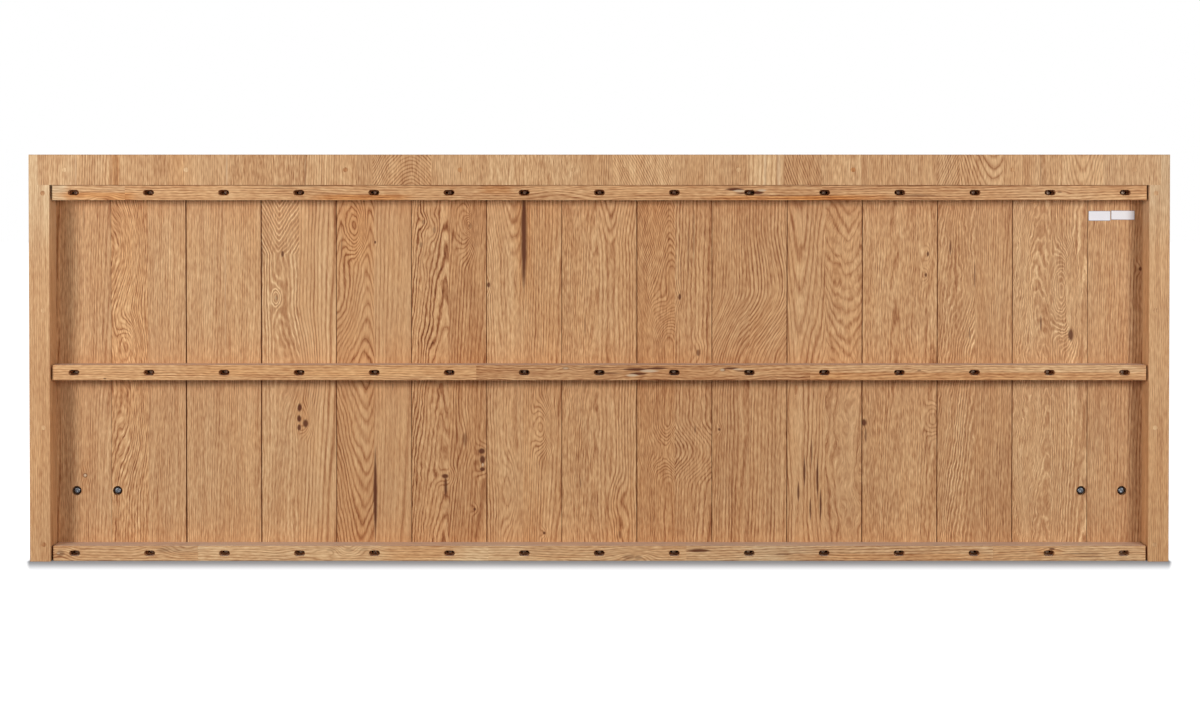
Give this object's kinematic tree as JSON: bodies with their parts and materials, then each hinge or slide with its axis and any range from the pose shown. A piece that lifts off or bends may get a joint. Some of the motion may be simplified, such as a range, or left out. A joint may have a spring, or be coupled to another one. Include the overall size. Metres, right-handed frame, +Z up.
{
  "type": "headboard",
  "caption": "Wide oak headboard of upright tongue-and-groove planks, screwed through slotted battens and framed behind by notched stiles and a top rail, with bolts for a bed base.",
  "frame": {"origin": "middle of the bounding box at floor level, with the bolts' ends counted in its depth", "axes": "+X to the right as seen from behind, +Y from the back towards the sleeper's side, +Z up"},
  "size_m": [2.1, 0.095, 0.75],
  "materials": {
    "oak_plank": "matt oiled oak",
    "oak_frame": "matt oiled oak",
    "oak_batten": "planed finger-jointed oak",
    "oak_plug": "sanded oak",
    "screw_steel": "zinc plated",
    "bolt_steel": "dull zinc plated"
  },
  "bodies": {
    "root": {"plank_01": "oak_plank", "plank_02": "oak_plank", "plank_03": "oak_plank", "plank_04": "oak_plank", "plank_05": "oak_plank", "plank_06": "oak_plank", "plank_07": "oak_plank", "plank_08": "oak_plank", "plank_09": "oak_plank", "plank_10": "oak_plank", "plank_11": "oak_plank", "plank_12": "oak_plank", "plank_13": "oak_plank", "plank_14": "oak_plank", "plank_15": "oak_plank", "top_rail": "oak_frame", "left_stile": "oak_frame", "right_stile": "oak_frame", "top_batten": "oak_batten", "middle_batten": "oak_batten", "bottom_batten": "oak_batten", "top_batten_screws": "screw_steel", "middle_batten_screws": "screw_steel", "bottom_batten_screws": "screw_steel", "rail_plugs": "oak_plug", "left_stile_plugs": "oak_plug", "right_stile_plugs": "oak_plug", "rail_screws": "screw_steel", "left_stile_screws": "screw_steel", "right_stile_screws": "screw_steel", "left_bed_bolts": "bolt_steel", "right_bed_bolts": "bolt_steel"}
  },
  "joints": []
}
